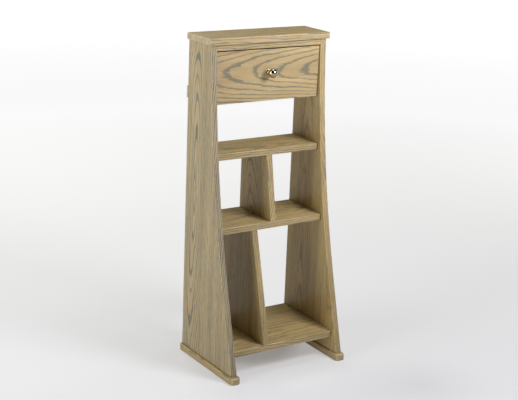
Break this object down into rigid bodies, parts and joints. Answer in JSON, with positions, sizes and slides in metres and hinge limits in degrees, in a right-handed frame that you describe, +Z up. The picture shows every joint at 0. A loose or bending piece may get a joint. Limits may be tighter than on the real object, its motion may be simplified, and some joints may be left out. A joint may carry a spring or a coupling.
{
  "type": "video game storage tower",
  "caption": "Narrow wooden storage tower with hollow-curved sides on foot rails, open bays split by dividers, a small drawer with a ball knob and an overhanging top.",
  "frame": {"origin": "on the floor, midway between the two feet", "axes": "+Z up, -Y towards the front, +X to the right seen from the front"},
  "size_m": [0.41, 0.31, 0.98],
  "materials": {
    "carcase_wood": "greyed open-grain hardwood under satin lacquer",
    "drawer_front_wood": "the same wood, a paler flat-sawn board with bold grain",
    "box_wood": "plain pale hardwood, lightly sealed",
    "knob_metal": "polished nickel",
    "screw_steel": "zinc-plated steel"
  },
  "bodies": {
    "carcase": {"top_board": "carcase_wood", "side_left": "carcase_wood", "side_right": "carcase_wood", "top_rail": "carcase_wood", "back_rail": "carcase_wood", "upper_shelf": "carcase_wood", "middle_shelf": "carcase_wood", "bottom_shelf": "carcase_wood", "upper_divider": "carcase_wood", "lower_divider": "carcase_wood", "foot_left": "carcase_wood", "foot_right": "carcase_wood", "wall_cleat": "carcase_wood", "runner_left": "box_wood", "runner_right": "box_wood", "top_screws": "screw_steel", "foot_screws": "screw_steel", "runner_screws": "screw_steel", "cleat_screws": "screw_steel"},
    "drawer": {"drawer_front": "drawer_front_wood", "drawer_box_front": "box_wood", "drawer_side_left": "box_wood", "drawer_side_right": "box_wood", "drawer_back": "box_wood", "drawer_bottom": "box_wood", "knob": "knob_metal", "knob_screw": "screw_steel", "front_screws": "screw_steel"}
  },
  "joints": [
    {"name": "drawer_slide", "type": "slide", "parent": "carcase", "child": "drawer", "axis": [0, -1, 0], "range_m": [0, 0.08]}
  ]
}
